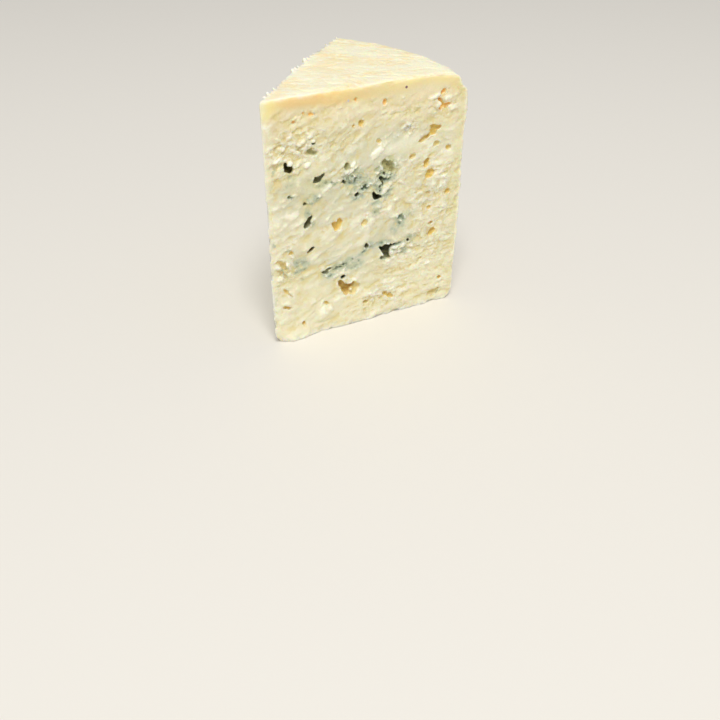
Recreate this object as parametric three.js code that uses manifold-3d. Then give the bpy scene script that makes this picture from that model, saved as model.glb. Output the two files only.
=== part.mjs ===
// A wedge of blue cheese that stands on the flat side of the wheel it was cut from.
//
// Millimetres, +Z up. The first cut face runs along X and faces -Y, with the tip of the wedge at
// the -X end and the curved side of the wheel at the +X end. The second cut face turns back from
// the tip by the wedge angle. The cheese is one closed solid: two cut faces with knife drag,
// crumbs and ripening holes, a curved side with rounded shoulders and a groove under the upper
// one, a creased top and a flat base. The origin is under the middle of the wedge, on its base.

import * as THREE from 'three';
import { ImprovedNoise } from 'three/addons/math/ImprovedNoise.js';
import { mergeVertices } from 'three/addons/utils/BufferGeometryUtils.js';
import Module from 'manifold-3d';

const { degToRad, lerp, seededRandom, smoothstep } = THREE.MathUtils;

// Driving dimensions. The upper shoulder tightens from the first cut face to the second, and the
// top falls a little towards the outer end of the first one.
const wheelHeight = 95.4;
const wheelRadius = 79.3;
const wedgeAngle = degToRad(46);
const topShoulder = { first: 8, second: 4 };
const bottomShoulder = 4.5;
const topFall = { depth: 1.3, start: 50, sharpness: 12 };
const secondCutBow = 1.6;
const shoulderGroove = { height: 91.2, depth: 2, spread: 2.4 };
const tipChip = { height: 5, depth: 3.4 };

// Relief: how far each kind of unevenness moves the surface, and its length along the surface.
const swell = { depth: 0.7, length: 36 };
const knifeDrag = { depth: 0.5, length: 27, width: 5, rise: degToRad(22) };
const crumbs = { depth: 0.9, length: 3.1, start: 35, full: 75, least: 0.35 };
const edgeCrumbs = { depth: 1.3, reach: 5, length: 2.3 };
const topCreases = { depth: 1, length: 24, width: 3.2 };
const sideSwell = { depth: 0.8, length: 21, sink: 0.3 };
const tipWave = { depth: 0.9, length: 17 };
const cutFade = 5;
const sideFade = 1 / 6;

// Where each kind of relief reads the noise, so that no two repeat each other.
const samples = { front: 3, back: 57, crumbs: 9, torn: 21, tip: 8.3, side: 5, top: 12 };

// Mesh density: how many steps the cut faces, the curved side and the heights are drawn with.
const alongSteps = 28;
const arcSteps = 16;
const sideSteps = 28;
const topShoulderSteps = 4;
const bottomShoulderSteps = 3;
const baseMiddle = 0.6; // of the radius

// The ripening holes of the first cut face: distance from the tip, height above the base, width
// and height of the mouth, and its turn in degrees, anticlockwise as seen from outside.
const frontHoles = [
  { along: 8.7, up: 71.3, wide: 3.4, tall: 3.6, turn: 0 },
  { along: 20.2, up: 65.2, wide: 4.2, tall: 2.3, turn: 30 },
  { along: 29.6, up: 63.4, wide: 1.7, tall: 4.2, turn: 35 },
  { along: 31.2, up: 67.6, wide: 2.6, tall: 2.2, turn: 0 },
  { along: 47.8, up: 64.4, wide: 4.6, tall: 4.4, turn: 0 },
  { along: 45.0, up: 60.0, wide: 2.2, tall: 4.2, turn: 12 },
  { along: 43.1, up: 53.2, wide: 4.2, tall: 3.2, turn: -10 },
  { along: 15.4, up: 48.6, wide: 2.0, tall: 4.8, turn: -24 },
  { along: 27.0, up: 45.3, wide: 4.6, tall: 4.4, turn: 0 },
  { along: 37.8, up: 43.8, wide: 3.0, tall: 3.4, turn: -20 },
  { along: 53.6, up: 42.8, wide: 3.4, tall: 2.8, turn: -20 },
  { along: 66.2, up: 58.2, wide: 3.8, tall: 3.4, turn: 25 },
  { along: 63.5, up: 62.4, wide: 1.8, tall: 2.8, turn: -25 },
  { along: 67.8, up: 33.4, wide: 3.2, tall: 2.6, turn: 35 },
  { along: 66.6, up: 74.8, wide: 4.8, tall: 3.0, turn: -10 },
  { along: 63.0, up: 71.6, wide: 4.4, tall: 2.6, turn: -12 },
  { along: 68.2, up: 86.2, wide: 1.8, tall: 6.6, turn: 8 },
  { along: 39.0, up: 33.8, wide: 1.8, tall: 2.6, turn: 15 },
  { along: 47.9, up: 31.2, wide: 4.8, tall: 3.0, turn: 15 },
  { along: 47.4, up: 28.0, wide: 4.2, tall: 4.8, turn: 20 },
  { along: 22.8, up: 26.2, wide: 3.4, tall: 3.0, turn: 0 },
  { along: 29.6, up: 18.6, wide: 4.2, tall: 6.6, turn: 25 },
  { along: 33.4, up: 17.6, wide: 5.4, tall: 4.6, turn: -20 },
  { along: 4.4, up: 35.2, wide: 4.6, tall: 3.0, turn: -30 },
  { along: 6.5, up: 21.8, wide: 1.5, tall: 5.4, turn: 38 },
  { along: 5.7, up: 15.3, wide: 3.6, tall: 1.7, turn: -38 },
  { along: 49.4, up: 8.6, wide: 5.2, tall: 1.9, turn: -32 },
  { along: 16.8, up: 74.4, wide: 4.8, tall: 3.0, turn: -12 },
];

// A hole is a lump whose depth is a share of its mouth's mean size. The larger ones are finer.
const holeShape = { depth: 0.75, size: 1.05, unevenness: 0.3, wrinkles: 1.7, fineFrom: 3 };

// The second cut face has the same kinds of holes, scattered by a rule.
const backHoles = {
  count: 20, smallest: 2, largest: 5.4, flattest: 0.6, tallest: 1.2, turn: 40,
  margin: 9, spacing: 8.5, draws: 400, seed: 41,
};

const noise = new ImprovedNoise();

// The two cut faces, each with the way it runs out from the tip, the way it faces, how far it
// bows out in its middle, and the share of the arc at which it meets the curved side.
const frontFace = {
  run: new THREE.Vector3(1, 0, 0),
  out: new THREE.Vector3(0, -1, 0),
  bow: 0,
  share: 0,
  sample: samples.front,
};
const backFace = {
  run: new THREE.Vector3(Math.cos(wedgeAngle), Math.sin(wedgeAngle), 0),
  out: new THREE.Vector3(-Math.sin(wedgeAngle), Math.cos(wedgeAngle), 0),
  bow: secondCutBow,
  share: 1,
  sample: samples.back,
};

// Distance of the curved side from the tip at a height and a share of the arc: rounded at both
// shoulders, with a groove that the band round the wheel left under the upper one.
function rimReach(height, share) {
  const shoulder = lerp(topShoulder.first, topShoulder.second, share);
  const above = Math.max(0, height - (wheelHeight - shoulder));
  const below = Math.max(0, bottomShoulder - height);
  const topInset = shoulder - Math.sqrt(shoulder ** 2 - above ** 2);
  const bottomInset = bottomShoulder - Math.sqrt(bottomShoulder ** 2 - below ** 2);
  const fromGroove = (height - shoulderGroove.height) / shoulderGroove.spread;
  const groove = shoulderGroove.depth * Math.exp(-(fromGroove ** 2));
  return wheelRadius - topInset - bottomInset - groove;
}

// Distance by which the edge at the tip stands back: a wavy cut, with the lowest corner chipped.
function tipRetreat(height) {
  const wave = tipWave.depth * Math.abs(noise.noise(height / tipWave.length, samples.tip, 0));
  const chip = tipChip.depth * Math.max(0, 1 - height / tipChip.height) ** 1.5;
  return wave + chip;
}

// Outward relief of a cut face: slow swells, slanting drag marks left by the knife, crumbs where
// the paste is drier towards the curved side, and torn crumbs along the upper and lower edges.
function cutRelief(face, along, up) {
  const slow = swell.depth * noise.noise(along / swell.length, up / swell.length, face.sample);
  const slide = along * Math.cos(knifeDrag.rise) + up * Math.sin(knifeDrag.rise);
  const across = up * Math.cos(knifeDrag.rise) - along * Math.sin(knifeDrag.rise);
  const drag = noise.noise(slide / knifeDrag.length, across / knifeDrag.width, face.sample);
  const ridge = 1 - 2 * Math.abs(drag);
  const crumbSample = face.sample + samples.crumbs;
  const crumb = noise.noise(along / crumbs.length, up / crumbs.length, crumbSample);
  const dryness = lerp(crumbs.least, 1, smoothstep(along, crumbs.start, crumbs.full));
  const toEdge = Math.min(up, wheelHeight - up);
  const tornSample = face.sample + samples.torn;
  const torn = noise.noise(along / edgeCrumbs.length, up / edgeCrumbs.length, tornSample);
  const edge = edgeCrumbs.depth * torn * (1 - smoothstep(toEdge, 0, edgeCrumbs.reach));
  const held = smoothstep(along, 0, cutFade) * smoothstep(wheelRadius - along, 0, cutFade);
  return held * (slow + knifeDrag.depth * (ridge - 0.5) + crumbs.depth * crumb * dryness + edge);
}

// How far a cut face bows out at a distance from the tip.
function bowAt(face, along) {
  return face.bow * Math.sin(Math.PI * Math.min(1, along / wheelRadius));
}

// A point of a cut face, moved out by its bow and its relief.
function cutPoint(face, along, up) {
  const point = face.run.clone().multiplyScalar(along);
  point.addScaledVector(face.out, bowAt(face, along) + cutRelief(face, along, up));
  point.z = up;
  return point;
}

// A point of the curved side, at a share of the way from the first cut face to the second.
function sidePoint(share, up) {
  const angle = share * wedgeAngle;
  const arc = wheelRadius * angle;
  const held = Math.min(1, share / sideFade, (1 - share) / sideFade);
  const swollen = noise.noise(arc / sideSwell.length, up / sideSwell.length, samples.side);
  const reach = rimReach(up, share) + held * (sideSwell.depth * swollen - sideSwell.sink);
  return new THREE.Vector3(reach * Math.cos(angle), reach * Math.sin(angle), up);
}

// Height of the top: long low creases that run along the first cut face.
function topHeight(x, y) {
  const crease = noise.noise(x / topCreases.length, y / topCreases.width, samples.top);
  return wheelHeight - topCreases.depth * Math.abs(crease);
}

// How far a point sinks as the top falls towards the outer end of the first cut face. Below the
// top the sinking soon dies away.
function sinkAt(x, y, z) {
  const out = Math.max(0, Math.hypot(x, y) - topFall.start) / (wheelRadius - topFall.start);
  const share = Math.min(1, Math.max(0, Math.atan2(y, x) / wedgeAngle));
  return topFall.depth * out ** 2 * (1 - share) * (z / wheelHeight) ** topFall.sharpness;
}

// The closed outline at one height: tip, first cut face, curved side, second cut face.
function outlineAt(height) {
  const tipBack = tipRetreat(height);
  const firstReach = rimReach(height, frontFace.share);
  const secondReach = rimReach(height, backFace.share);
  const points = [new THREE.Vector3(tipBack, tipBack * Math.tan(wedgeAngle / 2), height)];
  for (let step = 1; step <= alongSteps; step += 1) {
    points.push(cutPoint(frontFace, lerp(tipBack, firstReach, step / alongSteps), height));
  }
  for (let step = 1; step < arcSteps; step += 1) {
    points.push(sidePoint(step / arcSteps, height));
  }
  for (let step = alongSteps; step >= 1; step -= 1) {
    points.push(cutPoint(backFace, lerp(tipBack, secondReach, step / alongSteps), height));
  }
  return points;
}

// Heights of the outlines: close together round the shoulders, even between them.
function outlineHeights() {
  const heights = [];
  for (let step = 0; step < bottomShoulderSteps; step += 1) {
    heights.push(bottomShoulder * (1 - Math.cos((step / bottomShoulderSteps) * Math.PI / 2)));
  }
  const start = bottomShoulder;
  const end = wheelHeight - topShoulder.first;
  for (let step = 0; step < sideSteps; step += 1) {
    heights.push(lerp(start, end, step / sideSteps));
  }
  for (let step = 0; step <= topShoulderSteps; step += 1) {
    heights.push(end + topShoulder.first * Math.sin((step / topShoulderSteps) * Math.PI / 2));
  }
  return heights;
}

// The wedge without its holes, as one closed mesh whose faces share their vertices.
function wedgeGeometry() {
  const outlines = outlineHeights().map(outlineAt);
  const ring = outlines[0].length;
  const top = outlines[outlines.length - 1];
  for (const point of top) {
    point.z = topHeight(point.x, point.y);
  }
  const positions = outlines.flat().flatMap((point) => point.toArray());
  const triangles = [];
  const quad = (a, b, c, d) => triangles.push(a, b, c, a, c, d);

  for (let level = 0; level < outlines.length - 1; level += 1) {
    for (let step = 0; step < ring; step += 1) {
      const here = level * ring + step;
      const next = level * ring + (step + 1) % ring;
      quad(here, next, next + ring, here + ring);
    }
  }

  const baseCentre = positions.length / 3;
  const halfAngle = wedgeAngle / 2;
  const middleReach = wheelRadius * baseMiddle;
  positions.push(middleReach * Math.cos(halfAngle), middleReach * Math.sin(halfAngle), 0);
  for (let step = 0; step < ring; step += 1) {
    triangles.push(baseCentre, (step + 1) % ring, step);
  }

  // The top is a fan of rows from the tip: its edges are the highest outline.
  const topStart = (outlines.length - 1) * ring;
  const inner = positions.length / 3;
  for (let out = 1; out < alongSteps; out += 1) {
    for (let turn = 1; turn < arcSteps; turn += 1) {
      const reach = rimReach(wheelHeight, turn / arcSteps) * out / alongSteps;
      const angle = wedgeAngle * turn / arcSteps;
      const x = reach * Math.cos(angle);
      const y = reach * Math.sin(angle);
      positions.push(x, y, topHeight(x, y));
    }
  }
  const topVertex = (out, turn) => {
    if (out === 0) return topStart;
    if (turn === 0) return topStart + out;
    if (turn === arcSteps) return topStart + ring - out;
    if (out === alongSteps) return topStart + alongSteps + turn;
    return inner + (out - 1) * (arcSteps - 1) + turn - 1;
  };
  for (let turn = 0; turn < arcSteps; turn += 1) {
    triangles.push(topStart, topVertex(1, turn), topVertex(1, turn + 1));
    for (let out = 1; out < alongSteps; out += 1) {
      quad(topVertex(out, turn), topVertex(out + 1, turn), topVertex(out + 1, turn + 1),
        topVertex(out, turn + 1));
    }
  }

  for (let at = 0; at < positions.length; at += 3) {
    positions[at + 2] -= sinkAt(positions[at], positions[at + 1], positions[at + 2]);
  }
  const geometry = new THREE.BufferGeometry();
  geometry.setAttribute('position', new THREE.Float32BufferAttribute(positions, 3));
  geometry.setIndex(triangles);
  return geometry;
}

// One ripening hole: an uneven lump, as wide and tall as its mouth, that sinks into a cut face.
function holeGeometry(face, hole, order) {
  const size = (hole.wide + hole.tall) / 2;
  const { depth, unevenness, wrinkles } = holeShape;
  const detail = size > holeShape.fineFrom ? 1 : 0;
  const lump = new THREE.IcosahedronGeometry(1, detail);
  lump.deleteAttribute('normal');
  lump.deleteAttribute('uv');
  const closed = mergeVertices(lump);
  const place = closed.getAttribute('position');
  const point = new THREE.Vector3();
  for (let index = 0; index < place.count; index += 1) {
    point.fromBufferAttribute(place, index);
    const dent = noise.noise(point.x * wrinkles + order, point.y * wrinkles, point.z * wrinkles);
    point.multiplyScalar(holeShape.size + unevenness * dent);
    place.setXYZ(index, point.x, point.y, point.z);
  }
  closed.scale(hole.wide / 2, size * depth, hole.tall / 2);
  closed.rotateY(-degToRad(hole.turn));
  closed.rotateZ(Math.atan2(face.run.y, face.run.x));
  const centre = face.run.clone().multiplyScalar(hole.along);
  centre.addScaledVector(face.out, bowAt(face, hole.along));
  closed.translate(centre.x, centre.y, hole.up);
  return closed;
}

// The holes of the second cut face, kept apart and clear of its edges.
function scatteredHoles() {
  const { count, smallest, largest, flattest, tallest, margin, spacing, draws, seed } = backHoles;
  seededRandom(seed);
  const holes = [];
  for (let draw = 0; holes.length < count && draw < draws; draw += 1) {
    const along = lerp(margin, wheelRadius - margin, seededRandom());
    const up = lerp(margin, wheelHeight - margin, seededRandom());
    const wide = lerp(smallest, largest, seededRandom() ** 2);
    const tall = wide * lerp(flattest, tallest, seededRandom());
    const turn = lerp(-backHoles.turn, backHoles.turn, seededRandom());
    const apart = (other) => Math.hypot(along - other.along, up - other.up) > spacing;
    if (holes.every(apart)) holes.push({ along, up, wide, tall, turn });
  }
  return holes;
}

const wasm = await Module();
wasm.setup();

function toSolid(geometry) {
  return new wasm.Manifold(new wasm.Mesh({
    numProp: 3,
    vertProperties: new Float32Array(geometry.getAttribute('position').array),
    triVerts: new Uint32Array(geometry.getIndex().array),
  }));
}

function toGeometry(solid) {
  const mesh = solid.getMesh();
  const geometry = new THREE.BufferGeometry();
  geometry.setAttribute('position', new THREE.BufferAttribute(new Float32Array(mesh.vertProperties), 3));
  geometry.setIndex(new THREE.BufferAttribute(new Uint32Array(mesh.triVerts), 1));
  return geometry;
}

// Stands the wedge on its base, with the origin under the middle of its box.
function standOnOrigin(geometry) {
  geometry.computeBoundingBox();
  const box = geometry.boundingBox;
  const middle = box.getCenter(new THREE.Vector3());
  geometry.translate(-middle.x, -middle.y, -box.min.z);
  return geometry;
}

function cheeseWedge() {
  let solid = toSolid(wedgeGeometry());
  frontHoles.forEach((hole, order) => {
    solid = solid.subtract(toSolid(holeGeometry(frontFace, hole, order)));
  });
  scatteredHoles().forEach((hole, order) => {
    solid = solid.subtract(toSolid(holeGeometry(backFace, hole, order + frontHoles.length)));
  });
  const geometry = standOnOrigin(toGeometry(solid));
  geometry.computeVertexNormals();
  const paste = new THREE.MeshStandardMaterial({ color: 0xe8e0bd, roughness: 0.6, metalness: 0 });
  const mesh = new THREE.Mesh(geometry, paste);
  mesh.name = 'cheese_wedge';
  return mesh;
}

const cheese = new THREE.Group();
cheese.add(cheeseWedge());

export default cheese;
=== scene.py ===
import itertools
import math
import bmesh
import bpy
import numpy as np
from mathutils import Matrix, Vector


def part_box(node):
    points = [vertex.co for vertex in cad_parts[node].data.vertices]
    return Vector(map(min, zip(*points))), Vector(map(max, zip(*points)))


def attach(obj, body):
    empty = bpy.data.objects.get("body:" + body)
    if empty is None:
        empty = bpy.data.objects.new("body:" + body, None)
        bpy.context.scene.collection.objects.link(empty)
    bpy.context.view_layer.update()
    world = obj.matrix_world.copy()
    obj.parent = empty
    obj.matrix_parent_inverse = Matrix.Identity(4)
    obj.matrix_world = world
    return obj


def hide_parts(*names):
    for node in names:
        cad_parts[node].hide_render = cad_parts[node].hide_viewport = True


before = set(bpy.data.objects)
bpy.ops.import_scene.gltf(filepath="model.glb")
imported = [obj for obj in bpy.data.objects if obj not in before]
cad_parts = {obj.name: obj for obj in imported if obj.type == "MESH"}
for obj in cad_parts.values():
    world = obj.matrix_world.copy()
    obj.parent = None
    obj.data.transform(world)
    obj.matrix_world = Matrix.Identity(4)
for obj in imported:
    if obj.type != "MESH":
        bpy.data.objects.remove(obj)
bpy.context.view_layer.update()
mm = 0.001

# The wedge in its own terms: a point of a cut face is so far along from the tip and so far up
# from the base. Lengths are in millimetres until the finished wedge is brought to metres.
nodeLow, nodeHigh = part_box("cheese_wedge")
wedge = {
    "height": (nodeHigh.z - nodeLow.z) / mm,
    "radius": (nodeHigh.x - nodeLow.x) / mm,      # tip to curved side
    "angle": math.radians(46),
    "topShoulder": 8,                             # at the first cut face
    "farShoulder": 4,                             # at the second
    "bottomShoulder": 4.5,
    "grooveUp": 91.2, "grooveDepth": 2, "grooveSpread": 2.4,
    "bow": 1.6,                                   # of the second cut face
    "fall": 1.3, "fallStart": 50, "fallSharpness": 12,
    "proud": 0.99,                                # highest crumbs of the first cut face
    "creaseTurn": -24,                            # of the top's creases and the paste, in degrees
}
tip = Vector((nodeLow.x, nodeLow.y + wedge["proud"] * mm, nodeLow.z))


def pickOnly(piece):
    bpy.ops.object.select_all(action="DESELECT")
    piece.select_set(True)
    bpy.context.view_layer.objects.active = piece


def applyModifier(piece, kind, name, **settings):
    pickOnly(piece)
    modifier = piece.modifiers.new(name, kind)
    for key, value in settings.items():
        setattr(modifier, key, value)
    bpy.ops.object.modifier_apply(modifier=modifier.name)


def readPoints(piece, field="co"):
    values = np.empty(len(piece.data.vertices) * 3)
    piece.data.vertices.foreach_get(field, values)
    return values.reshape(-1, 3)


def writePoints(piece, points):
    piece.data.vertices.foreach_set("co", points.astype(np.float32).ravel())
    piece.data.update()


def writeValue(piece, name, values):
    layer = piece.data.attributes.new(name, "FLOAT", "POINT")
    layer.data.foreach_set("value", np.asarray(values, np.float32))


def writeColour(piece, name, colours):
    layer = piece.data.attributes.new(name, "FLOAT_COLOR", "POINT")
    full = np.concatenate([colours, np.ones((len(colours), 1))], 1)
    layer.data.foreach_set("color", full.astype(np.float32).ravel())


def countTriangles(piece):
    return sum(len(face.vertices) - 2 for face in piece.data.polygons)


def smoothStep(value, low, high):
    share = np.clip((value - low) / (high - low), 0, 1)
    return share * share * (3 - 2 * share)


def hump(value, middle, spread):
    # 1 at the middle, less towards both sides.
    return np.exp(-((value - middle) / spread) ** 2)


def linearColour(red, green, blue):
    def linear(value):
        share = value / 255
        return share / 12.92 if share <= 0.04045 else ((share + 0.055) / 1.055) ** 2.4
    return (linear(red), linear(green), linear(blue))


def linearColours(tints):
    return {name: linearColour(*tint) for name, tint in tints.items()}


# Seeded noises, each worked out for all points at once.

def gradientNoise(places, seed):
    rng = np.random.default_rng(seed)
    order = rng.permutation(256)
    slopes = rng.normal(size=(256, 3))
    slopes /= np.linalg.norm(slopes, axis=1)[:, None]
    cell = np.floor(places).astype(int)
    inside = places - cell
    fade = inside ** 3 * (inside * (inside * 6 - 15) + 10)
    total = np.zeros(len(places))
    for corner in itertools.product((0, 1), repeat=3):
        x, y, z = (cell + corner).T
        pick = order[(order[(order[x & 255] + y) & 255] + z) & 255]
        share = np.where(corner, fade, 1 - fade).prod(axis=1)
        total += share * (slopes[pick] * (inside - corner)).sum(axis=1)
    return total * 1.7


def flatNoise(across, up, seed, layers=1):
    total = np.zeros(len(across))
    for layer in range(layers):
        scale = 2 ** layer
        places = np.stack([across * scale, up * scale, np.full(len(across), 0.37 + layer)], 1)
        total += gradientNoise(places, seed + layer) / scale
    return total


def cells(across, up, seed):
    # For each point, the distances to the nearest and second nearest of scattered middles, and
    # a random share that belongs to the nearest.
    rng = np.random.default_rng(seed)
    shift = rng.random((64, 64, 2))
    share = rng.random((64, 64))
    column, row = np.floor(across).astype(int), np.floor(up).astype(int)
    nearest = np.full(len(across), 9.0)
    second = np.full(len(across), 9.0)
    pick = np.zeros(len(across))
    for stepX, stepY in itertools.product((-1, 0, 1), repeat=2):
        x, y = column + stepX, row + stepY
        place = shift[x & 63, y & 63]
        gap = np.hypot(x + place[:, 0] - across, y + place[:, 1] - up)
        closer = gap < nearest
        second = np.where(closer, nearest, np.minimum(second, gap))
        pick = np.where(closer, share[x & 63, y & 63], pick)
        nearest = np.where(closer, gap, nearest)
    return nearest, second, pick


def grains(across, up, seed):
    # Grains packed side by side: high on a grain, 0 in the crevice between two.
    nearest, second, pick = cells(across, up, seed)
    dome = np.sqrt(np.clip((second - nearest) * 1.6, 0, 1))
    return dome * (0.35 + 0.65 * pick)


def ridges(across, up, seed):
    # Thin jagged crests, about 1 high at the most, with rounded hollows between them.
    total, weight = np.zeros(len(across)), np.ones(len(across))
    for layer in range(3):
        line = np.abs(flatNoise(across * 2 ** layer, up * 2 ** layer, seed + layer))
        crest = np.clip(1 - 2.2 * line, 0, 1) ** 2 * weight
        total += 0.6 * crest / 2 ** layer
        weight = 0.3 + 0.7 * crest
    return total


def scales(slide, across, seed):
    # Torn scales that overlap like tiles: each ends below in a sharp lip, 1 high at the most.
    rng = np.random.default_rng(seed)
    lift = rng.uniform(0.3, 1, 256)
    place = across + 0.9 * flatNoise(slide * 0.42, across * 0.5, seed)
    row = np.floor(place).astype(int)
    broken = flatNoise(slide * 0.6 + row * 7.31, row * 3.17, seed + 1)
    return (1 - (place - row)) ** 2 * lift[row & 255] * smoothStep(broken, 0, 0.4)


# The camera.

view = {
    "standOff": (-92.4, -251.1, 188.8),        # millimetres from the tip's foot
    "heading": math.radians(27.2),             # clockwise from +Y
    "down": math.radians(36.4),
    "roll": math.radians(0.51),
    "lens": 42.05, "sensor": 36, "clip": (0.01, 20),
}


def addCamera():
    data = bpy.data.cameras.new("camera")
    data.lens = view["lens"]
    data.sensor_width = view["sensor"]
    data.clip_start, data.clip_end = view["clip"]
    camera = bpy.data.objects.new("camera", data)
    bpy.context.scene.collection.objects.link(camera)
    place = Matrix.Translation(tip + Vector(view["standOff"]) * mm)
    turn = Matrix.Rotation(-view["heading"], 4, "Z")
    tilt = Matrix.Rotation(math.pi / 2 - view["down"], 4, "X")
    camera.matrix_world = place @ turn @ tilt @ Matrix.Rotation(view["roll"], 4, "Z")
    bpy.context.scene.camera = camera


addCamera()
print("camera in place")

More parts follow.
